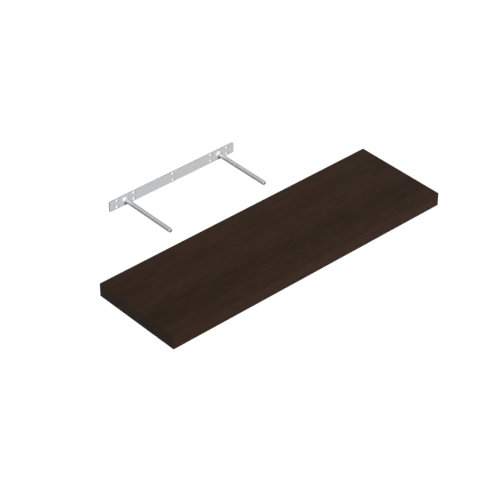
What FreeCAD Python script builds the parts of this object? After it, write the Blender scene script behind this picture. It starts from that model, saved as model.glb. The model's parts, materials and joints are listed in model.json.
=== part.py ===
import FreeCAD, Part
import os
import Sketcher

# Floating shelf: a hollow board that slides onto the two rods of a steel wall bracket.
# The origin is the centre of the wall plate's back face, with X along the board, Y into the wall and Z up.
# The board is drawn where it hangs, with its back on the wall, and its placement then draws it off the rods.

# Driving sizes in millimetres
BRACKET_SIZES = (
    ("plate_thickness", 4),
    ("plate_corner_radius", 3.5),
    ("plate_edge_radius", 0.5),
    ("plate_clearance", 0.5),
    ("rod_diameter", 11),
    ("rod_spacing", 286),
    ("rod_to_plate_end", 47),
    ("rod_tip_to_front", 82),
    ("rod_tip_chamfer", 2),
    ("spigot_diameter", 8),
    ("weld_leg", 3.2),
    ("weld_length", 5),
    ("weld_toe", 0.3),
    ("screw_hole_diameter", 9),
    ("screw_edge_margin", 1),
    ("screw_to_rod", 25),
    ("screw_head_room", 4),
)
BOARD_SIZES = (
    ("board_length", 800),
    ("board_depth", 250),
    ("board_thickness", 34),
    ("foil_thickness", 0.3),
    ("skin_thickness", 2.2),
    ("end_band_thickness", 0.8),
    ("end_band_edge_radius", 0.4),
    ("end_rail_width", 30),
    ("front_rail_width", 30),
    ("rear_rail_width", 30),
    ("rod_block_width", 60),
    ("bore_clearance", 0.3),
    ("bore_end_room", 6),
    ("honeycomb_cell", 30),
    ("honeycomb_wall", 0.6),
    ("staple_wire", 1.2),
    ("staple_crown", 11),
    ("staple_leg", 12),
    ("staple_edge_distance", 10),
    ("rest_gap", 65),
)

doc = FreeCAD.newDocument("floating_shelf")
sheet = doc.addObject("Spreadsheet::Sheet", "sizes")
for row, (alias, value) in enumerate(BRACKET_SIZES + BOARD_SIZES, start=1):
    sheet.set(f"A{row}", alias)
    sheet.set(f"B{row}", str(value))
    sheet.setAlias(f"B{row}", alias)
doc.recompute()

# Lengths worked out from the driving sizes, as expressions on the sheet
SKIN_FACE = "(sizes.board_thickness / 2 - sizes.foil_thickness)"
CORE_FACE = f"({SKIN_FACE} - sizes.skin_thickness)"
BAND_FACE = "(sizes.board_length / 2 - sizes.end_band_thickness)"
END_BAY = f"({BAND_FACE} - sizes.end_rail_width)"
FRONT_FACE = "(sizes.foil_thickness - sizes.board_depth)"
FRONT_BAY = f"({FRONT_FACE} + sizes.front_rail_width)"
GROOVE_FLOOR = "(0 - sizes.plate_thickness - sizes.screw_head_room)"
REAR_BAY = f"({GROOVE_FLOOR} - sizes.rear_rail_width)"
ROD_X = "(sizes.rod_spacing / 2)"
BLOCK_INNER = f"({ROD_X} - sizes.rod_block_width / 2)"
BLOCK_OUTER = f"({ROD_X} + sizes.rod_block_width / 2)"
ROD_RADIUS = "(sizes.rod_diameter / 2)"
ROD_TIP = "(sizes.rod_tip_to_front - sizes.board_depth)"
PLATE_FRONT = "(0 - sizes.plate_thickness)"
PLATE_HALF_HEIGHT = f"({CORE_FACE} - sizes.plate_clearance)"
PLATE_HALF_LENGTH = f"({ROD_X} + sizes.rod_to_plate_end)"
WELD_RADIUS = f"({ROD_RADIUS} + sizes.weld_leg)"
WELD_TOE_RADIUS = f"({ROD_RADIUS} + sizes.weld_toe)"
WELD_TOE = f"({PLATE_FRONT} - sizes.weld_length)"
SCREW_Z = f"({PLATE_HALF_HEIGHT} - sizes.screw_edge_margin - sizes.screw_hole_diameter / 2)"
BORE_RADIUS = f"({ROD_RADIUS} + sizes.bore_clearance)"
MOUTH_RADIUS = f"({WELD_RADIUS} + sizes.bore_clearance)"
MOUTH_END = f"({GROOVE_FLOOR} - sizes.weld_length)"
BORE_END = f"({ROD_TIP} - sizes.bore_end_room)"
TRAVEL = f"(sizes.rest_gap - {ROD_TIP})"

SIDES = (("left", "0 -"), ("right", "0 +"))
parts = []


# Helpers for bodies, sketches and features
def new_body(name, placement=(("y", f"0 - {TRAVEL}"),)):
    """Start a named body; a board piece stands off the wall by the travel."""
    body = doc.addObject("PartDesign::Body", name)
    body.Label = name
    body.AllowCompound = True
    for axis, size in placement:
        body.setExpression(f"Placement.Base.{axis}", size)
    parts.append(body)
    return body


def new_sketch(body, role, offsets=()):
    """Add a sketch on one of the body's origin planes, moved by named sizes."""
    sketch = body.newObject("Sketcher::SketchObject", f"{body.Name}_sketch")
    plane = next(feature for feature in body.Origin.OriginFeatures if feature.Role == role)
    sketch.AttachmentSupport = (plane, [""])
    sketch.MapMode = "FlatFace"
    for axis, size in offsets:
        sketch.setExpression(f"AttachmentOffset.Base.{axis}", size)
    return sketch


def pin_point(sketch, geometry, point, x_size, y_size):
    """Hold one point of a sketch at named distances from the sketch's origin."""
    for kind, size in (("DistanceX", x_size), ("DistanceY", y_size)):
        if size is None:
            continue
        value = float(sketch.evalExpression(size))
        index = sketch.addConstraint(Sketcher.Constraint(kind, -1, 1, geometry, point, value))
        sketch.setExpression(f"Constraints[{index}]", size)


def corner_points(sketch, corners):
    """Work out where named corners lie now."""
    return [FreeCAD.Vector(*(float(sketch.evalExpression(size)) for size in corner)) for corner in corners]


def draw_outline(sketch, corners):
    """Draw a closed outline of straight lines through named corners."""
    points = corner_points(sketch, corners)
    first = sketch.GeometryCount
    for start, end in zip(points, points[1:] + points[:1]):
        sketch.addGeometry(Part.LineSegment(start, end), False)
    for index, (x_size, y_size) in enumerate(corners):
        before = first + (index - 1) % len(corners)
        sketch.addConstraint(Sketcher.Constraint("Coincident", before, 2, first + index, 1))
        pin_point(sketch, first + index, 1, x_size, y_size)


def draw_rectangle(sketch, x_low, x_high, y_low, y_high):
    """Draw a rectangle between named edges."""
    draw_outline(sketch, ((x_low, y_low), (x_high, y_low), (x_high, y_high), (x_low, y_high)))


def draw_circle(sketch, x_size, y_size, radius):
    """Draw a circle of a named radius about a named centre."""
    centre = corner_points(sketch, ((x_size, y_size),))[0]
    value = float(sketch.evalExpression(radius))
    index = sketch.addGeometry(Part.Circle(centre, FreeCAD.Vector(0, 0, 1), value), False)
    pin_point(sketch, index, 3, x_size, y_size)
    constraint = sketch.addConstraint(Sketcher.Constraint("Radius", index, value))
    sketch.setExpression(f"Constraints[{constraint}]", radius)


def add_feature(body, kind, sketch, length=None, **settings):
    """Add a feature made from a sketch, with a named length where it has one."""
    feature = body.newObject(f"PartDesign::{kind}", f"{body.Name}_{kind.lower()}")
    feature.Profile = sketch
    for name, value in settings.items():
        setattr(feature, name, value)
    if length is not None:
        feature.setExpression("Length", length)
    return feature


def round_edges(body, base, edges, radius):
    """Round some edges of the last feature by a named radius."""
    fillet = body.newObject("PartDesign::Fillet", f"{body.Name}_fillet")
    every_edge = base.Shape.Edges
    names = [f"Edge{i}" for i, edge in enumerate(every_edge, start=1) if any(edge.isSame(e) for e in edges)]
    fillet.Base = (base, names)
    fillet.setExpression("Radius", radius)
    return fillet


def spin_profile(body, kind, sketch):
    """Turn a profile about the sketch's upright axis."""
    return add_feature(body, kind, sketch, ReferenceAxis=(sketch, ["V_Axis"]), Angle=360)


def new_slab(name, x_low, x_high, y_low, y_high, z_low, z_high):
    """Make a flat rectangular board piece between named planes."""
    body = new_body(name)
    sketch = new_sketch(body, "XY_Plane", (("z", z_low),))
    draw_rectangle(sketch, x_low, x_high, y_low, y_high)
    pad = add_feature(body, "Pad", sketch, f"{z_high} - {z_low}")
    doc.recompute()
    return body, pad


def core_slab(name, x_low, x_high, y_low, y_high):
    """Make a piece of the core, as high as the gap between the skins."""
    return new_slab(name, x_low, x_high, y_low, y_high, f"(0 - {CORE_FACE})", CORE_FACE)[0]


# Wall bracket
def make_wall_plate():
    """A flat steel bar with five pairs of screw holes and a hole for each rod's spigot."""
    body = new_body("wall_plate", placement=())
    sketch = new_sketch(body, "XZ_Plane")
    draw_rectangle(
        sketch, f"0 - {PLATE_HALF_LENGTH}", PLATE_HALF_LENGTH, f"0 - {PLATE_HALF_HEIGHT}", PLATE_HALF_HEIGHT
    )
    pad = add_feature(body, "Pad", sketch, "sizes.plate_thickness")
    doc.recompute()
    front = min(pad.Shape.Faces, key=lambda face: face.CenterOfMass.y)
    back = max(pad.Shape.Faces, key=lambda face: face.CenterOfMass.y)
    flat_edges = front.Edges + back.Edges
    corners = [edge for edge in pad.Shape.Edges if not any(edge.isSame(other) for other in flat_edges)]
    rounded = round_edges(body, pad, corners, "sizes.plate_corner_radius")
    doc.recompute()
    front = min(rounded.Shape.Faces, key=lambda face: face.CenterOfMass.y)
    back = max(rounded.Shape.Faces, key=lambda face: face.CenterOfMass.y)
    round_edges(body, rounded, front.Edges + back.Edges, "sizes.plate_edge_radius")
    doc.recompute()
    holes = new_sketch(body, "XZ_Plane")
    rows = ["0"]
    for _, sign in SIDES:
        rows += [f"{sign} ({ROD_X} - sizes.screw_to_rod)", f"{sign} ({ROD_X} + sizes.screw_to_rod)"]
        draw_circle(holes, f"{sign} {ROD_X}", "0", "sizes.spigot_diameter / 2")
    for x_size in rows:
        for _, sign in SIDES:
            draw_circle(holes, x_size, f"{sign} {SCREW_Z}", "sizes.screw_hole_diameter / 2")
    add_feature(body, "Pocket", holes, Type="ThroughAll", Reversed=True)


def make_rod(side, sign):
    """A round steel rod with a bevelled tip and a spigot that goes through the plate."""
    body = new_body(f"{side}_rod", placement=(("x", f"{sign} {ROD_X}"),))
    profile = new_sketch(body, "XY_Plane")
    tip_edge = f"({ROD_TIP} + sizes.rod_tip_chamfer)"
    corners = (
        ("0", "0"),
        ("sizes.spigot_diameter / 2", "0"),
        ("sizes.spigot_diameter / 2", PLATE_FRONT),
        (ROD_RADIUS, PLATE_FRONT),
        (ROD_RADIUS, tip_edge),
        (f"{ROD_RADIUS} - sizes.rod_tip_chamfer", ROD_TIP),
        ("0", ROD_TIP),
    )
    draw_outline(profile, corners)
    spin_profile(body, "Revolution", profile)


def make_weld(side, sign):
    """A hollow-faced weld that flares from the rod to the plate."""
    body = new_body(f"{side}_weld", placement=(("x", f"{sign} {ROD_X}"),))
    profile = new_sketch(body, "XY_Plane")
    corners = (
        (WELD_TOE_RADIUS, WELD_TOE),
        (ROD_RADIUS, WELD_TOE),
        (ROD_RADIUS, PLATE_FRONT),
        (WELD_RADIUS, PLATE_FRONT),
    )
    points = corner_points(profile, corners)
    for start, end in zip(points, points[1:]):
        profile.addGeometry(Part.LineSegment(start, end), False)
    last_line = len(corners) - 2
    for index in range(last_line):
        profile.addConstraint(Sketcher.Constraint("Coincident", index, 2, index + 1, 1))
    for index, (x_size, y_size) in enumerate(corners[:-1]):
        pin_point(profile, index, 1, x_size, y_size)
    pin_point(profile, last_line, 2, *corners[-1])
    toe = points[0]
    root = points[-1]
    rise = root.x - toe.x
    run = root.y - toe.y
    arc_radius = (rise * rise + run * run) / (2 * rise)
    centre = FreeCAD.Vector(toe.x + arc_radius, toe.y)
    middle = centre + ((toe + root) / 2 - centre).normalize() * arc_radius
    arc = profile.addGeometry(Part.Arc(toe, middle, root), False)
    start = profile.getPoint(arc, 1)
    starts_at_toe = start.distanceToPoint(toe) < start.distanceToPoint(root)
    toe_end, root_end = (1, 2) if starts_at_toe else (2, 1)
    profile.addConstraint(Sketcher.Constraint("Coincident", arc, toe_end, 0, 1))
    profile.addConstraint(Sketcher.Constraint("Coincident", arc, root_end, last_line, 2))
    pin_point(profile, arc, 3, None, WELD_TOE)
    spin_profile(body, "Revolution", profile)


# Board
def cut_rod_bore(body, sign):
    """Bore a block for one rod, with a wide mouth for the weld."""
    profile = new_sketch(body, "XY_Plane", (("x", f"{sign} {ROD_X}"),))
    corners = (
        ("0", GROOVE_FLOOR),
        (MOUTH_RADIUS, GROOVE_FLOOR),
        (BORE_RADIUS, MOUTH_END),
        (BORE_RADIUS, BORE_END),
        ("0", BORE_END),
    )
    draw_outline(profile, corners)
    spin_profile(body, "Groove", profile)
    doc.recompute()


def staple_places():
    """Give each joint's staple: its centre and the direction in which it crosses the joint."""
    front_row = f"({FRONT_FACE} + sizes.front_rail_width / 2)"
    rear_row = f"({GROOVE_FLOOR} - sizes.rear_rail_width / 2)"
    front_x = f"({BLOCK_OUTER} - sizes.staple_edge_distance)"
    places = {}
    for side, sign in SIDES:
        places[f"{side} front corner"] = (f"{sign} {END_BAY}", front_row, "x")
        places[f"{side} rear corner"] = (f"{sign} {END_BAY}", rear_row, "x")
        places[f"{side} block front"] = (f"{sign} {front_x}", FRONT_BAY, "y")
        places[f"{side} block outside"] = (f"{sign} {BLOCK_OUTER}", rear_row, "x")
        places[f"{side} block inside"] = (f"{sign} {BLOCK_INNER}", rear_row, "x")
    return places


def draw_staples(sketch, places, legs):
    """Draw the crowns or the legs of some staples as seen from above."""
    reach = "sizes.staple_crown / 2"
    half_wire = "sizes.staple_wire / 2"
    spans = [(f"0 - {reach}", reach)]
    if legs:
        spans = [(f"0 - {reach}", f"sizes.staple_wire - {reach}"), (f"{reach} - sizes.staple_wire", reach)]
    for x_size, y_size, direction in places:
        for low, high in spans:
            along = [f"{low}", f"{high}"]
            across = [f"0 - {half_wire}", half_wire]
            x_span, y_span = (along, across) if direction == "x" else (across, along)
            x_edges = [f"{x_size} + ({size})" for size in x_span]
            y_edges = [f"{y_size} + ({size})" for size in y_span]
            draw_rectangle(sketch, *x_edges, *y_edges)


def work_staples(body, kind, places, **settings):
    """Add or cut the crowns and legs of some staples, down from the top of the core."""
    for legs, depth in ((False, "sizes.staple_wire"), (True, "sizes.staple_leg")):
        sketch = new_sketch(body, "XY_Plane", (("z", CORE_FACE),))
        draw_staples(sketch, places, legs)
        add_feature(body, kind, sketch, depth, **settings)
        doc.recompute()


def make_skins():
    """Two hard fibreboard skins, one each side of the core."""
    edges = (f"0 - {BAND_FACE}", BAND_FACE, FRONT_FACE, "0")
    new_slab("top_skin", *edges, CORE_FACE, SKIN_FACE)
    new_slab("bottom_skin", *edges, f"(0 - {SKIN_FACE})", f"(0 - {CORE_FACE})")


def frame_piece(name, x_span, y_span, joints):
    """Make a rail or block of the frame, with room for the staples of its joints."""
    piece = core_slab(name, *x_span, *y_span)
    places = staple_places()
    work_staples(piece, "Pocket", [places[joint] for joint in joints])
    return piece


def make_frame():
    """Chipboard rails round the edge; at the back a bored block for each rod parts the rear rails."""
    front_span = (FRONT_FACE, FRONT_BAY)
    rear_span = (REAR_BAY, GROOVE_FLOOR)
    front_joints = [f"{side} {joint}" for side, _ in SIDES for joint in ("front corner", "block front")]
    frame_piece("front_rail", (f"0 - {END_BAY}", END_BAY), front_span, front_joints)
    middle_joints = [f"{side} block inside" for side, _ in SIDES]
    frame_piece("centre_rear_rail", (f"0 - {BLOCK_INNER}", BLOCK_INNER), rear_span, middle_joints)
    for side, sign in SIDES:
        end_span = (f"{sign} {END_BAY}", f"{sign} {BAND_FACE}")
        end_joints = [f"{side} front corner", f"{side} rear corner"]
        frame_piece(f"{side}_end_rail", end_span, (FRONT_FACE, "0"), end_joints)
        rail_span = (f"{sign} {BLOCK_OUTER}", f"{sign} {END_BAY}")
        rail_joints = [f"{side} rear corner", f"{side} block outside"]
        frame_piece(f"{side}_rear_rail", rail_span, rear_span, rail_joints)
        block_span = (f"{sign} {BLOCK_INNER}", f"{sign} {BLOCK_OUTER}")
        block_joints = [f"{side} block {face}" for face in ("front", "outside", "inside")]
        block = frame_piece(f"{side}_rod_block", block_span, (FRONT_BAY, GROOVE_FLOOR), block_joints)
        cut_rod_bore(block, sign)


def make_honeycomb(name, x_low, x_high):
    """A paper honeycomb that fills one bay of the frame, inside a paper edge strip."""
    body = core_slab(name, x_low, x_high, FRONT_BAY, REAR_BAY)
    cell_radius = "(sizes.honeycomb_cell - sizes.honeycomb_wall) / sqrt(3)"
    row_step = "sizes.honeycomb_cell * sqrt(3)"
    cells = new_sketch(body, "XY_Plane", (("x", x_low), ("y", FRONT_BAY)))
    for x_size, y_size in (("0", "0"), (f"{row_step} / 2", "sizes.honeycomb_cell / 2")):
        turns = range(0, 360, 60)
        corners = [
            (f"{x_size} + {cell_radius} * cos({turn} deg)", f"{y_size} + {cell_radius} * sin({turn} deg)")
            for turn in turns
        ]
        draw_outline(cells, corners)
    pocket = add_feature(body, "Pocket", cells, Type="ThroughAll", SideType="Symmetric")
    doc.recompute()
    pattern = body.newObject("PartDesign::LinearPattern", f"{name}_cells")
    pattern.Originals = [pocket]
    pattern.Direction = (cells, ["H_Axis"])
    pattern.Direction2 = (cells, ["V_Axis"])
    pattern.Mode = "Spacing"
    pattern.Mode2 = "Spacing"
    pattern.setExpression("Offset", row_step)
    pattern.setExpression("Offset2", "sizes.honeycomb_cell")
    pattern.setExpression("Occurrences", f"ceil(({x_high} - ({x_low})) / ({row_step})) + 1")
    pattern.setExpression("Occurrences2", f"ceil(({REAR_BAY} - {FRONT_BAY}) / sizes.honeycomb_cell) + 1")
    body.Tip = pattern
    doc.recompute()
    strip = new_sketch(body, "XY_Plane", (("z", f"0 - {CORE_FACE}"),))
    draw_rectangle(strip, x_low, x_high, FRONT_BAY, REAR_BAY)
    wall = "sizes.honeycomb_wall"
    inner_x = (f"{x_low} + {wall}", f"{x_high} - {wall}")
    inner_y = (f"{FRONT_BAY} + {wall}", f"{REAR_BAY} - {wall}")
    draw_rectangle(strip, *inner_x, *inner_y)
    add_feature(body, "Pad", strip, f"2 * {CORE_FACE}")
    doc.recompute()


def make_honeycombs():
    """Three bays: between each end rail and its rod block, and between the two blocks."""
    make_honeycomb("left_honeycomb", f"0 - {END_BAY}", f"0 - {BLOCK_OUTER}")
    make_honeycomb("centre_honeycomb", f"0 - {BLOCK_INNER}", BLOCK_INNER)
    make_honeycomb("right_honeycomb", BLOCK_OUTER, END_BAY)


def make_decor_foil():
    """One foil wrapped over the top, the front and the underside."""
    body = new_body("decor_foil")
    sketch = new_sketch(body, "YZ_Plane", (("z", f"0 - {BAND_FACE}"),))
    outer = "(sizes.board_thickness / 2)"
    front = "(0 - sizes.board_depth)"
    corners = (
        ("0", SKIN_FACE),
        ("0", outer),
        (front, outer),
        (front, f"0 - {outer}"),
        ("0", f"0 - {outer}"),
        ("0", f"0 - {SKIN_FACE}"),
        (FRONT_FACE, f"0 - {SKIN_FACE}"),
        (FRONT_FACE, SKIN_FACE),
    )
    draw_outline(sketch, corners)
    pad = add_feature(body, "Pad", sketch, f"2 * {BAND_FACE}")
    doc.recompute()
    face = min(pad.Shape.Faces, key=lambda candidate: candidate.CenterOfMass.y)
    long_edges = [edge for edge in face.Edges if edge.Length == max(other.Length for other in face.Edges)]
    round_edges(body, pad, long_edges, "sizes.foil_thickness")


def make_end_bands():
    """A thin band glued over each end, rounded at its outer edges."""
    outer = "(sizes.board_length / 2)"
    half = "(sizes.board_thickness / 2)"
    for side, sign in SIDES:
        x_span = (f"{sign} {BAND_FACE}", f"{sign} {outer}")
        body, pad = new_slab(f"{side}_end_band", *x_span, "0 - sizes.board_depth", "0", f"(0 - {half})", half)
        pick = min if side == "left" else max
        face = pick(pad.Shape.Faces, key=lambda candidate: candidate.CenterOfMass.x)
        round_edges(body, pad, face.Edges, "sizes.end_band_edge_radius")


def make_frame_staples():
    """Wire staples that hold the frame together while the board is pressed."""
    body = new_body("frame_staples")
    work_staples(body, "Pad", staple_places().values(), Reversed=True)


def check_document():
    """Stop if any object failed, and print what each piece measures."""
    for item in doc.Objects:
        if "Invalid" in item.State or "Error" in item.State:
            raise RuntimeError(f"{item.Name} failed: {item.State}")
    for body in parts:
        shape = body.Shape
        if shape.isNull() or not shape.isValid():
            raise RuntimeError(f"{body.Label} has no valid shape")
        box = shape.optimalBoundingBox()
        low = f"{box.XMin:.2f} {box.YMin:.2f} {box.ZMin:.2f}"
        high = f"{box.XMax:.2f} {box.YMax:.2f} {box.ZMax:.2f}"
        print(f"{body.Label}: {len(shape.Solids)} solid(s), {shape.Volume:.1f} mm3, from {low} to {high}")


def write_steps():
    """Write each piece to a file of its own."""
    os.makedirs("parts", exist_ok=True)
    for body in parts:
        body.Shape.exportStep(f"parts/{body.Label}.step")


make_wall_plate()
for side, sign in SIDES:
    make_rod(side, sign)
    make_weld(side, sign)
make_skins()
make_frame()
make_honeycombs()
make_decor_foil()
make_end_bands()
make_frame_staples()
doc.recompute()
check_document()
write_steps()
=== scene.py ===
"""A floating shelf: a dark wood board drawn off the two rods of its steel wall bracket.

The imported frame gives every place. X runs along the shelf, Y into the wall and Z up, in metres.
"""

import json
import math

import bmesh
import bpy
from bpy.props import FloatProperty, FloatVectorProperty, IntProperty, PointerProperty
from bpy.types import Operator, Panel, PropertyGroup
from mathutils import Matrix, Vector


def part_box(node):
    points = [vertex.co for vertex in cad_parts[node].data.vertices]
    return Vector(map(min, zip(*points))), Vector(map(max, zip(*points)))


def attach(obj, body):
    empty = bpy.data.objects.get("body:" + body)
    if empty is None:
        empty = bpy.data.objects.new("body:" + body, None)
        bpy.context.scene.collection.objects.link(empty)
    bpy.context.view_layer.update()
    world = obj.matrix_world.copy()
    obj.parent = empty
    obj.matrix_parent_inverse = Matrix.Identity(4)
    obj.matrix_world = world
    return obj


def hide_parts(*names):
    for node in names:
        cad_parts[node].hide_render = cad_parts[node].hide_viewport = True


bl_info = {
    "name": "Floating shelf",
    "version": (1, 0, 0),
    "blender": (4, 5, 0),
    "location": "View3D > Sidebar > Floating shelf",
    "description": "Builds the finished pieces of a floating shelf and its wall bracket",
    "category": "Object",
}

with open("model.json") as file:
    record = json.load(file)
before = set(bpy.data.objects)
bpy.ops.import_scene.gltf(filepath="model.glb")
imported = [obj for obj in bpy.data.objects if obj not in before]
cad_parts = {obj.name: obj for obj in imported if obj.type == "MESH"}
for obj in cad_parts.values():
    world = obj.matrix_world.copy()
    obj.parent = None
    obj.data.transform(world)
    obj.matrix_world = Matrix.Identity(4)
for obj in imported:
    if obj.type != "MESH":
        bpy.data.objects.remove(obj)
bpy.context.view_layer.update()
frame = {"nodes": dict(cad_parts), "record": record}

MM = 0.001
SAME_POINT = 0.001 * MM
SIDES = ("left", "right")

BEND_STEPS = 8
EDGE_STEPS = 5
BAND_CORNER_STEPS = 5
PLATE_CORNER_STEPS = 10
RIM_STEPS = 4
HOLE_STEPS = 48
ROD_STEPS = 64
WELD_STEPS = 152
WELD_ROWS = 20

SQUARE_EDGE = ((0, 0),)
MIX_SHARE, MIX_FIRST, MIX_SECOND, MIX_RESULT = 0, 6, 7, 2

LAMPS = ("front", "high", "back", "side", "low")
MIRRORED_LAMPS = ("high", "back")


def length_setting(name, description, default):
    """A setting that holds a length in metres."""
    return FloatProperty(
        name=name, description=description, default=default, unit="LENGTH", precision=5
    )


def angle_setting(name, description, degrees):
    """A setting that holds an angle."""
    return FloatProperty(
        name=name, description=description, default=math.radians(degrees), subtype="ANGLE"
    )


def share_setting(name, description, default):
    """A setting that holds a share between nothing and the whole."""
    return FloatProperty(
        name=name, description=description, default=default, min=0, max=1, subtype="FACTOR"
    )


def amount_setting(name, description, default):
    """A setting that holds an amount against one, such as a tone or the light of a lamp."""
    return FloatProperty(name=name, description=description, default=default, min=0)


def colour_setting(name, description, default):
    """A setting that holds a colour, in linear red, green and blue."""
    return FloatVectorProperty(
        name=name, description=description, default=default, min=0, max=1, subtype="COLOR"
    )


def lamp_setting(name, default):
    """A setting that holds how brightly a lamp lights a white face turned to it."""
    description = f"Light of the {name.lower()} lamp on a white face turned to it"
    return amount_setting(f"{name} lamp", description, default)


def direction_setting(name, default):
    """A setting that holds the direction in which a lamp stands."""
    return FloatVectorProperty(
        name=f"{name} lamp's place",
        description=f"Direction in which the {name.lower()} lamp stands",
        default=default,
        subtype="DIRECTION",
    )


class BoardSettings(PropertyGroup):
    """Sizes and colours of the board's printed finish."""

    foil_thickness: length_setting("Foil thickness", "Thickness of the wrapped foil", 0.3 * MM)
    foil_bend: length_setting("Foil bend", "Outer radius of the foil at a corner", 0.8 * MM)
    band_edge: length_setting("Band edge", "Radius of the end band's outer edge", 0.4 * MM)
    band_corner: length_setting("Band corner", "Radius of the end band's corners", 0.8 * MM)
    figure_pitch: length_setting(
        "Figure pitch", "Distance from one pale stripe of the figure to the next", 110 * MM
    )
    figure_crest: length_setting(
        "Figure crest", "Distance of a pale stripe from the back edge", 118 * MM
    )
    figure_strength: share_setting("Figure strength", "How strongly the stripes show", 0.36)
    pore_strength: share_setting("Pore strength", "How strongly the pores show", 0.8)
    warmth: share_setting("Warmth", "How strongly some bands turn redder", 0.16)
    light_wood: colour_setting(
        "Light wood", "Palest tone of the printed grain", (0.0365, 0.0200, 0.0126)
    )
    dark_wood: colour_setting(
        "Dark wood", "Darkest tone of the printed grain", (0.0172, 0.0091, 0.0055)
    )
    pore_wood: colour_setting("Pore", "Tone of the printed pores", (0.0125, 0.0068, 0.0042))
    roughness: share_setting("Roughness", "Mean roughness of the foil", 0.46)
    sheen: share_setting("Sheen", "Specular level of the foil", 0.03)


class CoreSettings(PropertyGroup):
    """Colours of the pieces inside the board."""

    dark_fibreboard: colour_setting(
        "Dark fibreboard", "Darkest tone of the fibreboard", (0.165, 0.098, 0.055)
    )
    pale_fibreboard: colour_setting(
        "Pale fibreboard", "Palest tone of the fibreboard", (0.30, 0.19, 0.112)
    )
    stray_fibre: colour_setting(
        "Stray fibre", "Tone of the few dark fibres", (0.09, 0.05, 0.028)
    )
    dark_chip: colour_setting("Dark chip", "Tone of the darkest chips", (0.33, 0.205, 0.105))
    pale_chip: colour_setting("Pale chip", "Tone of the palest chips", (0.60, 0.43, 0.26))
    chip_gap: colour_setting("Chip gap", "Tone of the gaps between chips", (0.16, 0.095, 0.05))
    dark_paper: colour_setting("Dark paper", "Darkest tone of the paper", (0.36, 0.245, 0.135))
    pale_paper: colour_setting("Pale paper", "Palest tone of the paper", (0.55, 0.41, 0.25))
    dull_wire: colour_setting("Dull wire", "Darkest tone of the staples", (0.36, 0.36, 0.37))
    bright_wire: colour_setting("Bright wire", "Palest tone of the staples", (0.58, 0.58, 0.58))


class BracketSettings(PropertyGroup):
    """Sizes and colours of the steel bracket."""

    plate_corner: length_setting("Plate corner", "Radius of the plate's corners", 3.5 * MM)
    plate_edge: length_setting("Plate edge", "Radius of the plate's long edges", 0.5 * MM)
    hole_rim: length_setting("Hole rim", "Radius of the rolled rim of each hole", 0.35 * MM)
    spigot_radius: length_setting(
        "Spigot radius", "Radius of the rod's end inside the plate", 4 * MM
    )
    tip_bevel: length_setting("Tip bevel", "Width of the bevel at a rod's tip", 2 * MM)
    # The sawn tone darkens each rod's end face as painted shade; the bevel tone lightens its bevel
    # as a painted highlight.
    end_shade_tone: amount_setting("Sawn tone", "Tone of a sawn end against the plating", 0.36)
    bevel_highlight_tone: amount_setting("Bevel tone", "Tone of the bevel against the plating", 1.2)
    weld_toe: length_setting(
        "Weld toe", "Thickness of the weld where it ends on the rod", 0.3 * MM
    )
    weld_ripple: length_setting("Weld ripple", "Depth of the ripples round a weld", 0.05 * MM)
    weld_ripples: IntProperty(
        name="Weld ripples", description="Number of ripples round a weld", default=19, min=3
    )
    steel: colour_setting("Steel", "Colour of the plated steel", (0.445, 0.451, 0.460))
    dull_steel: colour_setting(
        "Dull steel", "Colour of the plating where it is dull", (0.385, 0.392, 0.402)
    )
    speck: colour_setting("Speck", "Colour of the small dull specks", (0.27, 0.275, 0.285))
    pit: colour_setting("Pit", "Colour inside a weld's pits", (0.25, 0.25, 0.26))
    # The patch set below paints a highlight and a reflection: paler steel up and to the left of
    # each rod's foot, on the weld, the rod and the plate.
    highlight_steel: colour_setting(
        "Brushed steel", "Colour of the steel brushed clean", (0.86, 0.865, 0.87)
    )
    highlight_left: length_setting(
        "Brushed left", "How far the brushed patch lies to the left of its rod", 4.4 * MM
    )
    highlight_rise: length_setting(
        "Brushed rise", "How far the brushed patch lies above its rod's middle", 4.6 * MM
    )
    highlight_width: length_setting(
        "Brushed width", "How far the brushed patch reaches round its middle", 9.5 * MM
    )
    highlight_reach: length_setting(
        "Brushed reach", "How far the brushed patch reaches along its rod", 36 * MM
    )
    highlight_on_plate: share_setting("Brushed plate", "How clean the plate is brushed", 0.3)
    highlight_on_rod: share_setting("Brushed rod", "How clean a rod is brushed", 0.6)
    highlight_on_weld: share_setting("Brushed weld", "How clean a weld is brushed", 0.8)
    metal_share: share_setting(
        "Metal share", "How much of the plating reflects as bare metal", 0.05
    )
    weld_metal_share: share_setting(
        "Weld metal share", "How much of a weld reflects as bare metal", 0.2
    )
    roughness: share_setting("Roughness", "Mean roughness of the plated steel", 0.42)
    weld_roughness: share_setting("Weld roughness", "Mean roughness of a weld", 0.36)
    gloss: share_setting("Gloss", "Specular level of the plated steel", 0.3)


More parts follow.
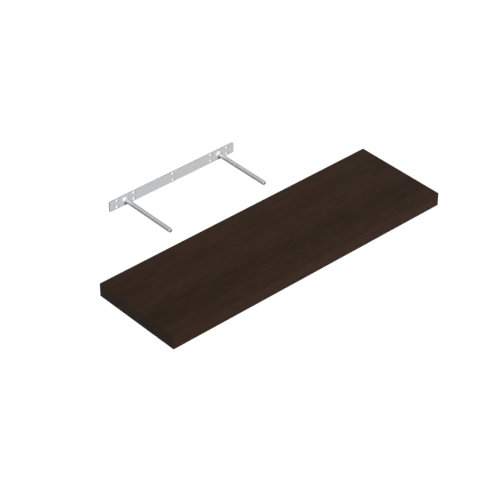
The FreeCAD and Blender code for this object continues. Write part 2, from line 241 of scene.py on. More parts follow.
class StudioSettings(PropertyGroup):
    """The camera, the lamps and the pale surroundings."""

    aim: FloatVectorProperty(
        name="Aim",
        description="Point that the camera looks at",
        default=(-0.0611, -0.345, 0.0033),
        subtype="TRANSLATION",
        unit="LENGTH",
        precision=4,
    )
    distance: length_setting("Distance", "Distance from the camera to its aim", 4.6)
    azimuth: angle_setting(
        "Azimuth", "Turn of the camera about the upright axis, from straight in front", -41.672
    )
    elevation: angle_setting("Elevation", "Angle of the camera above the horizon", 36.348)
    lens: FloatProperty(
        name="Lens", description="Focal length in millimetres", default=148.04, unit="CAMERA"
    )
    floor_drop: length_setting(
        "Floor drop", "Height at which the shelf hangs over the floor", 1.6
    )
    floor_reach: length_setting("Floor reach", "Half the width of the floor", 60.0)
    floor_tone: share_setting("Floor tone", "How much light the floor gives back", 0.12)
    floor_white: amount_setting(
        "Floor white", "How bright the camera sees the floor in full light", 1.07
    )
    sky: share_setting("Surroundings", "Strength of the even light from all round", 0.05)
    lamp_spread: angle_setting("Lamp spread", "Width of a lamp as seen from the shelf", 12)
    front_light: lamp_setting("Front", 1.05)
    front_direction: direction_setting("Front", (-0.04, -0.95, 0.28))
    high_light: lamp_setting("High", 0.35)
    high_direction: direction_setting("High", (-0.28, -0.375, 0.883))
    back_light: lamp_setting("Back", 0.35)
    back_direction: direction_setting("Back", (-0.374, 0.602, 0.706))
    side_light: lamp_setting("Side", 0.25)
    side_direction: direction_setting("Side", (0.80, 0.58, 0.15))
    low_light: lamp_setting("Low", 0.5)
    low_direction: direction_setting("Low", (0.55, 0.35, -0.76))


class Value:
    """An output of a node. Signs between outputs and numbers add the nodes that work them out."""

    def __init__(self, finish, output):
        self.finish = finish
        self.output = output

    def __add__(self, other):
        return self.finish.maths("ADD", self, other)

    def __sub__(self, other):
        return self.finish.maths("SUBTRACT", self, other)

    def __rsub__(self, other):
        return self.finish.maths("SUBTRACT", other, self)

    def __mul__(self, other):
        return self.finish.maths("MULTIPLY", self, other)

    def __truediv__(self, other):
        return self.finish.maths("DIVIDE", self, other)

    def __rtruediv__(self, other):
        return self.finish.maths("DIVIDE", other, self)

    __radd__ = __add__
    __rmul__ = __mul__

    def held(self):
        """Keep the value between nothing and one."""
        return self.finish.maths("ADD", self, 0, use_clamp=True)

    def swing(self, amount):
        """Swing by this amount in all, half of it each way, as the value runs from 0 to 1."""
        return (self - 0.5) * amount

    def wave(self):
        """Rise and fall between nothing and one, highest at every whole turn."""
        return self.finish.maths("COSINE", self * (2 * math.pi)) * 0.5 + 0.5

    def ramp(self, low, high):
        """Rise smoothly from nothing at low to one at high."""
        settings = {"interpolation_type": "SMOOTHSTEP"}
        limits = {"Value": self, "From Min": low, "From Max": high}
        return self.finish.node("ShaderNodeMapRange", settings, limits)


class Finish:
    """The nodes of one material, or of the world."""

    def __init__(self, owner):
        self.owner = owner
        owner.use_nodes = True
        self.tree = owner.node_tree
        self.tree.nodes.clear()

    def node(self, kind, settings, inputs, output=0):
        """Add a node, set it up, and give its sockets their values or links."""
        made = self.tree.nodes.new(kind)
        for name, setting in settings.items():
            setattr(made, name, setting)
        for socket, value in inputs.items():
            if isinstance(value, Value):
                self.tree.links.new(value.output, made.inputs[socket])
            else:
                made.inputs[socket].default_value = value
        return Value(self, made.outputs[output]) if made.outputs else None

    def maths(self, operation, *values, **settings):
        """Work out one operation on these values."""
        settings["operation"] = operation
        return self.node("ShaderNodeMath", settings, dict(enumerate(values)))

    def place(self):
        """The point on the piece, in metres in the shelf's own frame."""
        return self.node("ShaderNodeTexCoord", {}, {}, "Object")

    def parts(self, vector):
        """The three numbers of a vector."""
        split = self.node("ShaderNodeSeparateXYZ", {}, {"Vector": vector})
        return [Value(self, output) for output in split.output.node.outputs]

    def stretched(self, vector, counts, shift=(0, 0, 0)):
        """Multiply a vector by one number, or by one for each axis, and move it."""
        scale = counts if isinstance(counts, tuple) else (counts, counts, counts)
        settings = {"operation": "MULTIPLY_ADD"}
        return self.node("ShaderNodeVectorMath", settings, {0: vector, 1: scale, 2: shift})

    def noise(self, place, counts, shift=(0, 0, 0), output=0, **shape):
        """Cloudy noise about a half, with so many clouds to a metre."""
        inputs = {"Vector": self.stretched(place, counts, shift), "Scale": 1}
        inputs.update({name.title(): value for name, value in shape.items()})
        return self.node("ShaderNodeTexNoise", {}, inputs, output)

    def cells(self, vector, output="Distance", feature="F1"):
        """Scattered cells, one to a unit of the vector."""
        inputs = {"Vector": vector, "Scale": 1}
        return self.node("ShaderNodeTexVoronoi", {"feature": feature}, inputs, output)

    def mix(self, share, first, second, blend="MIX"):
        """Mix two colours."""
        settings = {"data_type": "RGBA", "blend_type": blend}
        inputs = {MIX_SHARE: share, MIX_FIRST: colour(first), MIX_SECOND: colour(second)}
        return self.node("ShaderNodeMix", settings, inputs, MIX_RESULT)

    def bump(self, height, distance, strength):
        """Turn a height into a bump of this depth."""
        inputs = {"Height": height, "Distance": distance, "Strength": strength}
        return self.node("ShaderNodeBump", {}, inputs)

    def surface(self, **inputs):
        """Close the material with a surface that has these inputs."""
        named = {name.replace("_", " ").title(): value for name, value in inputs.items()}
        named = {name.replace("Ior", "IOR"): value for name, value in named.items()}
        return self.close(self.node("ShaderNodeBsdfPrincipled", {}, named))

    def close(self, shader):
        """Show this shader, and give the material."""
        self.node("ShaderNodeOutputMaterial", {}, {"Surface": shader})
        return self.owner


def colour(value):
    """Give a colour of three numbers its fourth, and leave a link as it is."""
    return value if isinstance(value, Value) else (*value, 1)


def drawn_out(along, length_count, width_count):
    """Clouds to a metre on each axis, for noise that is drawn out along one of them."""
    return tuple(length_count if axis == along else width_count for axis in "xyz")


def new_finish(name):
    """Start a material, and give its finish and the point on the piece."""
    finish = Finish(bpy.data.materials.new(name))
    return finish, finish.place()


def wood_finish(name, along, settings):
    """Dark wood print with fine dark lines and pores that run along X or along Y."""
    finish, place = new_finish(name)
    y = finish.parts(place)[1]

    def grain(length_count, width_count, shift, **shape):
        """Noise drawn out along the grain, with so many clouds to a metre along and across."""
        return finish.noise(place, drawn_out(along, length_count, width_count), shift, **shape)

    wander = grain(1.4, 5, (3.1, 0.7, 5.2), detail=2)
    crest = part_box("decor_foil")[1].y - settings.figure_crest
    turns = (y - crest) / settings.figure_pitch + wander.swing(0.5)
    figure = turns.wave() * 0.77 + (turns * 0.58 - 0.25).wave() * 0.23
    drift = grain(2.2, 9, (8.4, 2.2, 1.3), detail=3, roughness=0.6)
    streaks = grain(3.5, 190, (1.7, 9.3, 4.1), detail=3, roughness=0.6)
    lines = grain(5, 520, (6.6, 3.9, 7.7), detail=2, roughness=0.65, distortion=0.15)
    flecks = grain(75, 1900, (2.9, 8.1, 0.6), detail=1.5, roughness=0.5)
    mottle = grain(16, 48, (4.6, 7.2, 2.5), detail=2, roughness=0.55, distortion=0.6)
    pores = flecks.ramp(0.60, 0.72) * lines.ramp(0.60, 0.40)
    tone = figure * settings.figure_strength + drift.swing(0.5) + mottle.swing(0.95) + 0.32
    tone = tone + streaks.swing(0.65) + lines.swing(0.7)
    body = finish.mix(tone.held(), settings.dark_wood, settings.light_wood)
    red_bands = grain(2.7, 24, (5.5, 1.1, 9.9), detail=2).ramp(0.35, 0.7)
    redder = (1.18, 0.92, 0.78)
    body = finish.mix(red_bands * settings.warmth, body, redder, "MULTIPLY")
    body = finish.mix(pores * settings.pore_strength, body, settings.pore_wood)
    cloud = finish.noise(place, 14, detail=4, roughness=0.62)
    haze = finish.noise(place, 160, detail=2)
    rough = settings.roughness + cloud.swing(0.12) + haze.swing(0.1) + pores * 0.14
    relief = lines.swing(0.35) + streaks.swing(0.25) - pores * 0.9 + haze.swing(0.08)
    return finish.surface(
        base_color=body,
        roughness=rough.held(),
        specular_ior_level=settings.sheen,
        normal=finish.bump(relief, 0.06 * MM, 0.6),
    )


def fibreboard_finish(name, settings):
    """Hard brown fibreboard: felted short fibres and a few dark ones."""
    finish, place = new_finish(name)
    felt = finish.noise(place, (900, 900, 2600), detail=4, roughness=0.7)
    cloud = finish.noise(place, 45, detail=3)
    fibres = finish.noise(place, (260, 3200, 3200), (3.3, 1.2, 5.5), detail=1).ramp(0.62, 0.72)
    tone = felt * 0.8 + cloud * 0.5 - 0.15
    body = finish.mix(tone.held(), settings.dark_fibreboard, settings.pale_fibreboard)
    body = finish.mix(fibres * 0.5, body, settings.stray_fibre)
    rough = 0.72 + felt.swing(0.3)
    return finish.surface(
        base_color=body,
        roughness=rough.held(),
        specular_ior_level=0.2,
        normal=finish.bump(felt - fibres * 0.4, 0.1 * MM, 0.6),
    )


def chipboard_finish(name, settings):
    """Chipboard: pressed chips, each of its own tone, with dark gaps and pale splinters."""
    finish, place = new_finish(name)
    bend = finish.noise(place, 60, output="Color", detail=2)
    bent = finish.stretched(bend, 0.5, finish.stretched(place, (190, 420, 640)))
    chip = finish.parts(finish.cells(bent, "Color"))[0]
    gap = finish.cells(bent, "Distance", "DISTANCE_TO_EDGE").ramp(0.10, 0.01)
    fibre = finish.noise(place, (240, 2600, 2600), detail=3, roughness=0.6)
    dust = finish.noise(place, 1800, detail=2)
    tone = chip * 0.65 + fibre.swing(0.7) + dust * 0.3
    body = finish.mix(tone.held(), settings.dark_chip, settings.pale_chip)
    body = finish.mix(gap * 0.6, body, settings.chip_gap)
    rough = 0.8 + dust.swing(0.2)
    return finish.surface(
        base_color=body,
        roughness=rough.held(),
        specular_ior_level=0.15,
        normal=finish.bump(chip * 0.5 + fibre * 0.3 - gap * 0.8, 0.25 * MM, 0.7),
    )


def paper_finish(name, settings):
    """Brown honeycomb paper: soft fibres and a faint ribbing up its walls."""
    finish, place = new_finish(name)
    pulp = finish.noise(place, (420, 420, 900), detail=5, roughness=0.7)
    cloud = finish.noise(place, 60, detail=2)
    ribs = finish.noise(place, (1500, 1500, 40), (1.1, 4.4, 2.2), detail=1)
    tone = pulp * 0.7 + cloud * 0.4 + ribs.swing(0.3) - 0.05
    body = finish.mix(tone.held(), settings.dark_paper, settings.pale_paper)
    rough = 0.85 + pulp.swing(0.2)
    return finish.surface(
        base_color=body,
        roughness=rough.held(),
        specular_ior_level=0.15,
        normal=finish.bump(pulp + ribs * 0.6, 0.08 * MM, 0.6),
    )


def wire_finish(name, settings):
    """Bright drawn staple wire with short draw marks."""
    finish, place = new_finish(name)
    marks = finish.noise(place, 900, detail=3, roughness=0.65)
    cloud = finish.noise(place, 160, detail=2)
    tone = cloud + marks.swing(0.6)
    body = finish.mix(tone.held(), settings.dull_wire, settings.bright_wire)
    rough = 0.34 + marks.swing(0.3)
    return finish.surface(
        base_color=body,
        metallic=0.8,
        roughness=rough.held(),
        normal=finish.bump(marks, 0.02 * MM, 0.5),
    )


def painted_highlight_patch(finish, place, settings):
    """One where a painted highlight and reflection lie on the steel above a weld, and nothing away
    from it or behind.
    """
    x, y, z = finish.parts(place)
    front, back = (corner.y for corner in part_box("wall_plate"))
    nearest_rod = finish.maths("SIGN", x) * rod_middle("right")[0]
    across = x - nearest_rod + settings.highlight_left
    rise = z - settings.highlight_rise
    along = (y - front) * (settings.highlight_width / settings.highlight_reach)
    away = finish.maths("SQRT", across * across + rise * rise + along * along)
    full_highlight_width = settings.highlight_width / 4
    patch = away.ramp(settings.highlight_width, full_highlight_width)
    return patch * y.ramp((front + back) / 2, front)


def steel_finish(name, along, highlight_share, settings):
    """Zinc plated steel: cloudy, with fine lines drawn or rolled along X or along Y, specks, and a
    painted highlight above each weld.
    """
    finish, place = new_finish(name)
    lines = finish.noise(place, drawn_out(along, 26, 1300), detail=2, roughness=0.6)
    bands = finish.noise(place, drawn_out(along, 9, 260), (4.2, 1.8, 7.1), detail=2)
    cloud = finish.noise(place, 38, (1.3, 6.1, 2.4), detail=4, roughness=0.6)
    spangle = finish.parts(finish.cells(finish.stretched(place, 330), "Color"))[0]
    specks = finish.cells(finish.stretched(place, 210, (2.2, 5.9, 3.7))).ramp(0.16, 0.06)
    tone = 0.62 + cloud.swing(0.9) + bands.swing(0.4) + lines.swing(0.4) + spangle.swing(0.16)
    body = finish.mix(tone.held(), settings.dull_steel, settings.steel)
    body = finish.mix(specks * 0.16, body, settings.speck)
    # Paler steel above each weld is a painted highlight and painted reflection.
    patch = painted_highlight_patch(finish, place, settings)
    body = finish.mix(patch * highlight_share, body, settings.highlight_steel)
    rough = settings.roughness + cloud.swing(0.28) + lines.swing(0.12) + spangle.swing(0.06)
    rough = rough + specks * 0.12
    relief = lines * 0.5 + bands * 0.3 + spangle * 0.12 - specks * 0.4
    return finish.surface(
        base_color=body,
        metallic=settings.metal_share,
        roughness=rough.held(),
        specular_ior_level=settings.gloss,
        normal=finish.bump(relief, 0.03 * MM, 0.55),
    )


def weld_finish(name, settings):
    """Plated weld metal: grainier than the rods, with fine pits and a painted highlight on its
    upper left.
    """
    finish, place = new_finish(name)
    cloud = finish.noise(place, 120, detail=4, roughness=0.6)
    grit = finish.noise(place, 1500, detail=3, roughness=0.7)
    pits = finish.cells(finish.stretched(place, 520, (0.4, 0.9, 0.2))).ramp(0.20, 0.08)
    tone = 0.6 + cloud.swing(1.2) + grit.swing(0.5)
    body = finish.mix(tone.held(), settings.dull_steel, settings.steel)
    # Paler weld metal on the upper left is a painted highlight.
    patch = painted_highlight_patch(finish, place, settings)
    body = finish.mix(patch * settings.highlight_on_weld, body, settings.highlight_steel)
    body = finish.mix(pits * 0.25, body, settings.pit)
    rough = settings.weld_roughness + cloud.swing(0.2) + grit.swing(0.12)
    relief = grit * 0.6 + cloud * 0.5 - pits * 0.7
    return finish.surface(
        base_color=body,
        metallic=settings.weld_metal_share,
        roughness=rough.held(),
        normal=finish.bump(relief, 0.04 * MM, 0.4),
    )


def cut_finish(name, cut_tone, settings):
    """Sawn or turned steel, with fine arcs left by the tool, at one tone of the plating; a low tone
    is painted shade and a high one a painted highlight.
    """
    finish, place = new_finish(name)
    arcs = finish.node(
        "ShaderNodeTexWave",
        {"wave_type": "RINGS", "rings_direction": "Y"},
        {"Vector": finish.stretched(place, 60, (8.6, 0, 2.1)), "Scale": 5, "Distortion": 1.2},
        "Fac",
    )
    cloud = finish.noise(place, 420, detail=3, roughness=0.6)
    pale = [channel * cut_tone for channel in settings.steel]
    dull = [channel * cut_tone for channel in settings.dull_steel]
    tone = 0.6 + cloud.swing(1.1) + arcs.swing(0.3)
    rough = settings.roughness + cloud.swing(0.2) + arcs.swing(0.1)
    return finish.surface(
        base_color=finish.mix(tone.held(), dull, pale),
        metallic=settings.metal_share,
        roughness=rough.held(),
        specular_ior_level=settings.gloss,
        normal=finish.bump(arcs + cloud * 0.4, 0.02 * MM, 0.5),
    )


def circle(radius, steps, centre=(0, 0)):
    """Points of a circle, anticlockwise."""
    turns = [2 * math.pi * step / steps for step in range(steps)]
    u, v = centre
    return [(u + radius * math.cos(turn), v + radius * math.sin(turn)) for turn in turns]


def rounded_rectangle(half_width, half_height, corner, steps):
    """Points of a rectangle with round corners about the origin, anticlockwise."""
    points = []
    for quarter, (side, top) in enumerate(((1, 1), (-1, 1), (-1, -1), (1, -1))):
        u, v = side * (half_width - corner), top * (half_height - corner)
        for step in range(steps + 1):
            turn = math.radians(90) * (quarter + step / steps)
            points.append((u + corner * math.cos(turn), v + corner * math.sin(turn)))
    return points


def edge_roll(radius, steps):
    """Inset and depth at each step round a quarter circle, from a face to its side."""
    turns = [math.radians(90) * step / steps for step in range(steps + 1)]
    return [(radius * (1 - math.sin(turn)), radius * (1 - math.cos(turn))) for turn in turns]


def wall_steps(front_roll, back_roll, thickness):
    """Inset and depth at each step over a slab's edge, from its front face to its back face."""
    return [*front_roll, *((inset, thickness - depth) for inset, depth in reversed(back_roll))]


def add_ring(mesh, points, depth):
    """Add a closed ring of corners at one depth."""
    return [mesh.verts.new((u, v, depth)) for u, v in points]


def join_rings(mesh, near, far):
    """Join two rings with faces; a ring may be a single point."""
    steps = max(len(near), len(far))
    for step in range(steps):
        after = (step + 1) % steps
        if len(near) == 1:
            mesh.faces.new((near[0], far[step], far[after]))
        elif len(far) == 1:
            mesh.faces.new((near[step], near[after], far[0]))
        else:
            mesh.faces.new((near[step], near[after], far[after], far[step]))


def ring_edges(mesh, ring):
    """The edges round a ring."""
    return [mesh.edges.get((ring[step - 1], corner)) for step, corner in enumerate(ring)]


def build_slab(outline, thickness, front_roll, back_roll, holes=(), rim_roll=()):
    """Build a flat slab, from depth 0 at its front, with rolled edges and rimmed round holes.

    The outline is a function of the inset, and each hole is its centre and radius.
    """
    mesh = bmesh.new()
    outer_steps = wall_steps(front_roll, back_roll, thickness)
    walls = [[add_ring(mesh, outline(inset), depth) for inset, depth in outer_steps]]
    for centre, radius in holes:
        hole_steps = wall_steps(rim_roll, rim_roll, thickness)
        walls.append([
            add_ring(mesh, circle(radius + inset, HOLE_STEPS, centre), depth)
            for inset, depth in hole_steps
        ])
    for wall in walls:
        for near, far in zip(wall, wall[1:]):
            join_rings(mesh, near, far)
    for end in (0, -1):
        edges = [edge for wall in walls for edge in ring_edges(mesh, wall[end])]
        bmesh.ops.triangle_fill(mesh, edges=edges, use_beauty=True)
    return mesh


def build_turned(rows, steps, shape=None):
    """Build a body turned about the depth axis from rows of radius and depth.

    The shape, where there is one, gives how far a radius moves at its row and turn.
    """
    mesh = bmesh.new()
    rings = []
    for row, (radius, depth) in enumerate(rows):
        points = [(0, 0)]
        if radius > 0:
            points = []
            for u, v in circle(1, steps):
                reach = radius + (shape(row, math.atan2(v, u)) if shape else 0)
                points.append((u * reach, v * reach))
        rings.append(add_ring(mesh, points, depth))
    for near, far in zip(rings, rings[1:]):
        join_rings(mesh, near, far)
    return mesh, rings


def stand_on_wall(across=0.0, y=0.0):
    """Turn depth so that it runs into the wall, from this place."""
    return Matrix(((1, 0, 0, across), (0, 0, 1, y), (0, 1, 0, 0), (0, 0, 0, 1)))


def stand_on_end(outer, inward, middle):
    """Turn depth so that it runs inward along the shelf, from the outer face of one end."""
    return Matrix(((0, 0, inward, outer), (1, 0, 0, middle.y), (0, 1, 0, middle.z), (0, 0, 0, 1)))


def add_piece(mesh, name, node, materials, sharp_degrees=35):
    """Turn a mesh into a piece that stands for a node, on that node's body and with these
    materials.

    Its faces are turned outward, and its flat faces shade flat beside rolled edges.
    """
    mesh.normal_update()
    bmesh.ops.recalc_face_normals(mesh, faces=mesh.faces)
    data = bpy.data.meshes.new(name)
    mesh.to_mesh(data)
    mesh.free()
    for material in materials:
        data.materials.append(material)
    data.shade_smooth()
    data.set_sharp_from_angle(angle=math.radians(sharp_degrees))
    piece = bpy.data.objects.new(name, data)
    bpy.context.scene.collection.objects.link(piece)
    piece.modifiers.new("flat_faces", "WEIGHTED_NORMAL").keep_sharp = True
    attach(piece, body_of(node))
    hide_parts(node)


def body_of(node):
    """The body that a node rides on."""
    bodies = frame["record"]["behaviour"]["bodies"]
    return next(body for body, nodes in bodies.items() if node in nodes)


def slot_of(node):
    """The material slot that the record gives a node."""
    parts = frame["record"]["subparts"]
    return next(part["material_slot"] for part in parts if part["node"] == node)


def screw_holes():
    """Centre and radius of each of the plate's screw holes, from the record's hole patterns."""
    holes = []
    for mount in frame["record"]["mounts"]:
        if mount["kind"] != "bolt_pattern":
            continue
        x, _, z = mount["pos_m"]
        dims = mount["dims"]
        half_width = dims.get("spacing_x_mm", 0) * MM / 2
        half_height = dims["spacing_y_mm"] * MM / 2
        for across in sorted({-half_width, half_width}):
            for up in (-half_height, half_height):
                holes.append(((x + across, z + up), dims["hole_r_mm"] * MM))
    return holes


def rod_middle(side):
    """Centre across the shelf, and radius, of one rod."""
    low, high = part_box(f"{side}_rod")
    return (low.x + high.x) / 2, (high.x - low.x) / 2


class SHELF_OT_wrap_foil(Operator):
    """Wrap the printed foil over the top, the front and the underside of the board"""

    bl_idname = "shelf.wrap_foil"
    bl_label = "Wrap foil"

    def execute(self, context):
        """Build the foil as one bent strip."""
        board = context.scene.shelf_board
        low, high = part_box("decor_foil")
        outside = self.bent_path(low, high, board.foil_bend, 0)
        inside = self.bent_path(low, high, board.foil_bend, board.foil_thickness)
        section = outside + inside[::-1]
        mesh = bmesh.new()
        ends = [[mesh.verts.new((x, y, z)) for y, z in section] for x in (low.x, high.x)]
        join_rings(mesh, *ends)
        for end in ends:
            for step in range(len(outside) - 1):
                mesh.faces.new((end[step], end[step + 1], end[-step - 2], end[-step - 1]))
        material = wood_finish("Dark wood foil", "x", board)
        add_piece(mesh, "foil_wrap", "decor_foil", [material])
        return {"FINISHED"}

    def bent_path(self, low, high, outer_bend, depth):
        """Points from the top's back edge to the underside's, at one depth in the foil."""
        bend = outer_bend - depth
        path = [(high.y, high.z - depth)]
        for z, start in ((high.z, 90), (low.z, 180)):
            centre = (low.y + outer_bend, z - math.copysign(outer_bend, z))
            for step in range(BEND_STEPS + 1):
                turn = math.radians(start + 90 * step / BEND_STEPS)
                point = (centre[0] + bend * math.cos(turn), centre[1] + bend * math.sin(turn))
                path.append(point)
        return path + [(high.y, low.z + depth)]


class SHELF_OT_band_ends(Operator):
    """Glue a printed band over each end of the board"""

    bl_idname = "shelf.band_ends"
    bl_label = "Band ends"

    def execute(self, context):
        """Build both bands with trimmed outer edges."""
        board = context.scene.shelf_board
        material = wood_finish("Dark wood end band", "y", board)
        for side in SIDES:
            low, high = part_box(f"{side}_end_band")
            size = high - low
            middle = (low + high) / 2

            def outline(inset):
                """The band's outline, drawn in by the inset."""
                corner = max(board.band_corner - inset, board.band_corner / 4)
                half_depth, half_height = size.y / 2 - inset, size.z / 2 - inset
                return rounded_rectangle(half_depth, half_height, corner, BAND_CORNER_STEPS)

            roll = edge_roll(board.band_edge, EDGE_STEPS)
            mesh = build_slab(outline, size.x, roll, SQUARE_EDGE)
            outer, inward = (low.x, 1) if side == "left" else (high.x, -1)
            mesh.transform(stand_on_end(outer, inward, middle))
            add_piece(mesh, f"{side}_edge_band", f"{side}_end_band", [material])
        return {"FINISHED"}


class SHELF_OT_finish_core(Operator):
    """Give the board's skins, rails, blocks, honeycombs and staples their finishes"""

    bl_idname = "shelf.finish_core"
    bl_label = "Finish core"

    def execute(self, context):
        """Put one material on all the nodes of each slot."""
        core = context.scene.shelf_core
        finishes = {
            "fibreboard": fibreboard_finish("Fibreboard", core),
            "chipboard": chipboard_finish("Chipboard", core),
            "honeycomb_paper": paper_finish("Honeycomb paper", core),
            "staple_wire": wire_finish("Staple wire", core),
        }
        for name, node in frame["nodes"].items():
            slot = slot_of(name)
            if slot in finishes:
                node.data.materials.clear()
                node.data.materials.append(finishes[slot])
        return {"FINISHED"}


class SHELF_OT_roll_plate(Operator):
    """Make the bracket's wall plate, with its screw holes and the holes for both rods"""

    bl_idname = "shelf.roll_plate"
    bl_label = "Roll plate"

    def execute(self, context):
        """Build the plate with rolled edges and rims."""
        bracket = context.scene.shelf_bracket
        low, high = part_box("wall_plate")
        size = high - low

        def outline(inset):
            """The plate's outline, drawn in by the inset."""
            half_width, half_height = size.x / 2 - inset, size.z / 2 - inset
            corner = bracket.plate_corner - inset
            return rounded_rectangle(half_width, half_height, corner, PLATE_CORNER_STEPS)

        holes = screw_holes()
        holes += [((rod_middle(side)[0], 0), bracket.spigot_radius) for side in SIDES]
        roll = edge_roll(bracket.plate_edge, EDGE_STEPS)
        rim = edge_roll(bracket.hole_rim, RIM_STEPS)
        mesh = build_slab(outline, size.y, roll, roll, holes, rim)
        mesh.transform(stand_on_wall(y=low.y))
        material = steel_finish("Rolled zinc steel", "x", bracket.highlight_on_plate, bracket)
        add_piece(mesh, "steel_plate", "wall_plate", [material])
        return {"FINISHED"}


class SHELF_OT_turn_rods(Operator):
    """Make both round rods, each with a bevelled tip and a spigot through the plate"""

    bl_idname = "shelf.turn_rods"
    bl_label = "Turn rods"

    def execute(self, context):
        """Build both rods, with the sawn end darkened as painted shade and the bevel lightened as a
        painted highlight, each in a finish of its own.
        """
        bracket = context.scene.shelf_bracket
        # The end face's darker tone is painted shade and the bevel's paler tone a painted
        # highlight.
        materials = [
            steel_finish("Drawn zinc steel", "y", bracket.highlight_on_rod, bracket),
            cut_finish("Sawn rod end", bracket.end_shade_tone, bracket),
            cut_finish("Turned bevel", bracket.bevel_highlight_tone, bracket),
        ]
        plated, sawn, turned = range(len(materials))
        soft = bracket.tip_bevel / 8
        plate_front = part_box("wall_plate")[0].y
        for side in SIDES:
            low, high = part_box(f"{side}_rod")
            across, radius = rod_middle(side)
            face = radius - bracket.tip_bevel
            shoulder = low.y + bracket.tip_bevel
            rows = [(0, low.y), (face - soft, low.y), (face, low.y + soft / 4)]
            rows += [(radius - soft / 4, shoulder - soft / 4), (radius, shoulder + soft)]
            rows += [(radius, plate_front), (bracket.spigot_radius, plate_front)]
            rows += [(bracket.spigot_radius, high.y), (0, high.y)]
            mesh, _ = build_turned(rows, ROD_STEPS)
            for polygon in mesh.faces:
                depth = polygon.calc_center_median().z - low.y
                on_bevel = turned if depth < bracket.tip_bevel else plated
                polygon.material_index = sawn if depth < soft / 4 else on_bevel
            mesh.transform(stand_on_wall(across))
            add_piece(mesh, f"{side}_steel_rod", f"{side}_rod", materials, sharp_degrees=25)
        return {"FINISHED"}


class SHELF_OT_lay_welds(Operator):
    """Lay a rippled weld round the foot of each rod"""

    bl_idname = "shelf.lay_welds"
    bl_label = "Lay welds"

    def execute(self, context):
        """Build both welds as hollow flares with ripples that only go inward."""
        bracket = context.scene.shelf_bracket
        material = weld_finish("Plated weld", bracket)
        for number, side in enumerate(SIDES):
            low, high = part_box(f"{side}_weld")
            across, radius = rod_middle(side)
            toe = radius + bracket.weld_toe
            rise = (high.x - low.x) / 2 - toe
            length = high.y - low.y
            arc = (rise * rise + length * length) / (2 * rise)
            rows = [(radius, high.y), (radius, low.y)]
            flare = len(rows)
            for step in range(WELD_ROWS + 1):
                run = length * step / WELD_ROWS
                rows.append((toe + arc - math.sqrt(arc * arc - run * run), low.y + run))
            rows.append(rows[0])

            def ripple(row, turn):
                """Draw the flare in between one ripple and the next."""
                share = (row - flare) / WELD_ROWS
                if not 0 < share < 1:
                    return 0
                lean = 0.35 * share + 0.11 * math.sin(3 * turn + number)
                wave = 0.5 - 0.5 * math.cos(bracket.weld_ripples * (turn + lean))
                ebb = 0.5 - 0.5 * math.sin(5 * turn + 2 * number)
                swell = math.sin(math.pi * share) * (0.65 * wave + 0.35 * ebb)
                return -bracket.weld_ripple * swell

            mesh, rings = build_turned(rows, WELD_STEPS, ripple)
            bmesh.ops.remove_doubles(mesh, verts=rings[0] + rings[-1], dist=SAME_POINT)
            mesh.transform(stand_on_wall(across))
            add_piece(mesh, f"{side}_weld_bead", f"{side}_weld", [material], sharp_degrees=60)
        return {"FINISHED"}


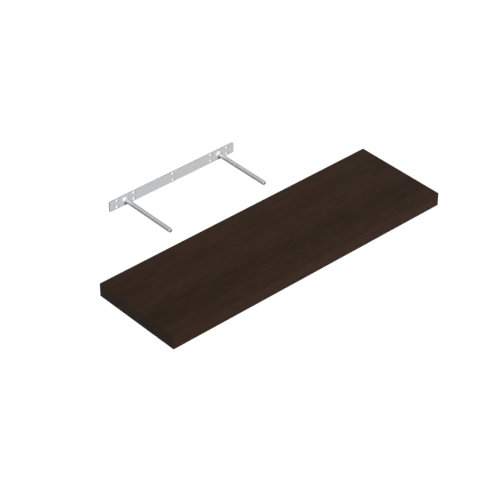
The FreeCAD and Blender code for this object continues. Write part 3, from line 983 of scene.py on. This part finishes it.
class SHELF_OT_set_studio(Operator):
    """Set the camera, the lamps, the pale floor and the white surroundings"""

    bl_idname = "shelf.set_studio"
    bl_label = "Set studio"

    def execute(self, context):
        """Build everything round the shelf."""
        studio = context.scene.shelf_studio
        self.place_camera(context.scene, studio)
        for place in LAMPS:
            self.hang_lamp(context.scene, studio, place)
        self.lay_floor(context.scene, studio)
        self.light_surroundings(context.scene, studio)
        context.scene.view_settings.view_transform = "Standard"
        return {"FINISHED"}

    def place_camera(self, scene, studio):
        """Stand the camera where it sees the shelf as in the photograph."""
        level = math.cos(studio.elevation)
        back = Vector((
            math.sin(studio.azimuth) * level,
            -math.cos(studio.azimuth) * level,
            math.sin(studio.elevation),
        ))
        data = bpy.data.cameras.new("camera")
        data.lens = studio.lens
        camera = bpy.data.objects.new("camera", data)
        camera.location = Vector(studio.aim) + back * studio.distance
        camera.rotation_euler = back.to_track_quat("Z", "Y").to_euler()
        scene.collection.objects.link(camera)
        scene.camera = camera

    def hang_lamp(self, scene, studio, place):
        """Hang a wide far lamp; a white face turned to it shows as bright as its light."""
        data = bpy.data.lights.new(f"{place}_lamp", "SUN")
        data.energy = getattr(studio, f"{place}_light") * math.pi
        data.angle = studio.lamp_spread
        lamp = bpy.data.objects.new(f"{place}_lamp", data)
        direction = Vector(getattr(studio, f"{place}_direction"))
        lamp.rotation_euler = direction.to_track_quat("Z", "Y").to_euler()
        lamp.visible_glossy = place in MIRRORED_LAMPS
        scene.collection.objects.link(lamp)

    def seen_plainly(self, finish):
        """One where the camera, a reflection or a clear surface looks, and else nothing."""
        outputs = finish.node("ShaderNodeLightPath", {}, {}).output.node.outputs
        kinds = ("Camera", "Glossy", "Transmission")
        camera, glossy, clear = (Value(finish, outputs[f"Is {kind} Ray"]) for kind in kinds)
        return (camera + glossy + clear).held()

    def lay_floor(self, scene, studio):
        """Lay a wide floor that keeps the shelf's shadow, and shows white above, clear below.

        It throws no shadow of its own, so the low lamp lights the shelf from under it.
        """
        finish = Finish(bpy.data.materials.new("Pale floor"))
        tone = studio.floor_tone
        plain = finish.node("ShaderNodeBsdfDiffuse", {}, {"Color": colour((tone, tone, tone))})
        strength = self.seen_plainly(finish) * (studio.floor_white - tone)
        glow = finish.node("ShaderNodeEmission", {}, {"Strength": strength})
        lit = finish.node("ShaderNodeAddShader", {}, {0: plain, 1: glow})
        clear = finish.node("ShaderNodeBsdfTransparent", {}, {})
        below = finish.node("ShaderNodeNewGeometry", {}, {}, "Backfacing")
        either = finish.node("ShaderNodeMixShader", {}, {0: below, 1: lit, 2: clear})
        material = finish.close(either)
        mesh = bmesh.new()
        bmesh.ops.create_grid(mesh, x_segments=1, y_segments=1, size=studio.floor_reach)
        data = bpy.data.meshes.new("floor")
        mesh.to_mesh(data)
        mesh.free()
        data.materials.append(material)
        floor = bpy.data.objects.new("floor", data)
        floor.location.z = -studio.floor_drop
        floor.visible_shadow = False
        scene.collection.objects.link(floor)

    def light_surroundings(self, scene, studio):
        """Light the shelf evenly from all round, from white surroundings."""
        scene.world = bpy.data.worlds.new("surroundings")
        finish = Finish(scene.world)
        strength = self.seen_plainly(finish) * (1 - studio.sky) + studio.sky
        inputs = {"Color": colour((1, 1, 1)), "Strength": strength}
        light = finish.node("ShaderNodeBackground", {}, inputs)
        finish.node("ShaderNodeOutputWorld", {}, {"Surface": light})


GROUPS = (
    ("Board", "shelf_board", BoardSettings, (SHELF_OT_wrap_foil, SHELF_OT_band_ends)),
    ("Core", "shelf_core", CoreSettings, (SHELF_OT_finish_core,)),
    (
        "Bracket",
        "shelf_bracket",
        BracketSettings,
        (SHELF_OT_roll_plate, SHELF_OT_turn_rods, SHELF_OT_lay_welds),
    ),
    ("Studio", "shelf_studio", StudioSettings, (SHELF_OT_set_studio,)),
)
STEPS = tuple(step for *_, steps in GROUPS for step in steps)


class SHELF_PT_panel(Panel):
    """The shelf's settings and steps in the 3D view's sidebar"""

    bl_idname = "SHELF_PT_panel"
    bl_label = "Floating shelf"
    bl_space_type = "VIEW_3D"
    bl_region_type = "UI"
    bl_category = "Floating shelf"

    def draw(self, context):
        """List the settings of each group, with its steps under them."""
        for title, name, group, steps in GROUPS:
            box = self.layout.box()
            box.label(text=title)
            for setting in group.__annotations__:
                box.prop(getattr(context.scene, name), setting)
            for step in steps:
                box.operator(step.bl_idname)


def register():
    """Register the settings, the steps and the panel."""
    for _, name, group, _ in GROUPS:
        bpy.utils.register_class(group)
        setattr(bpy.types.Scene, name, PointerProperty(type=group))
    for step in (*STEPS, SHELF_PT_panel):
        bpy.utils.register_class(step)


def unregister():
    """Take the panel, the steps and the settings away again."""
    for step in (SHELF_PT_panel, *reversed(STEPS)):
        bpy.utils.unregister_class(step)
    for _, name, group, _ in reversed(GROUPS):
        delattr(bpy.types.Scene, name)
        bpy.utils.unregister_class(group)


def main():
    """Build the whole shelf."""
    register()
    for step in STEPS:
        family, action = step.bl_idname.split(".")
        getattr(getattr(bpy.ops, family), action)()


if __name__ == "__main__":
    main()
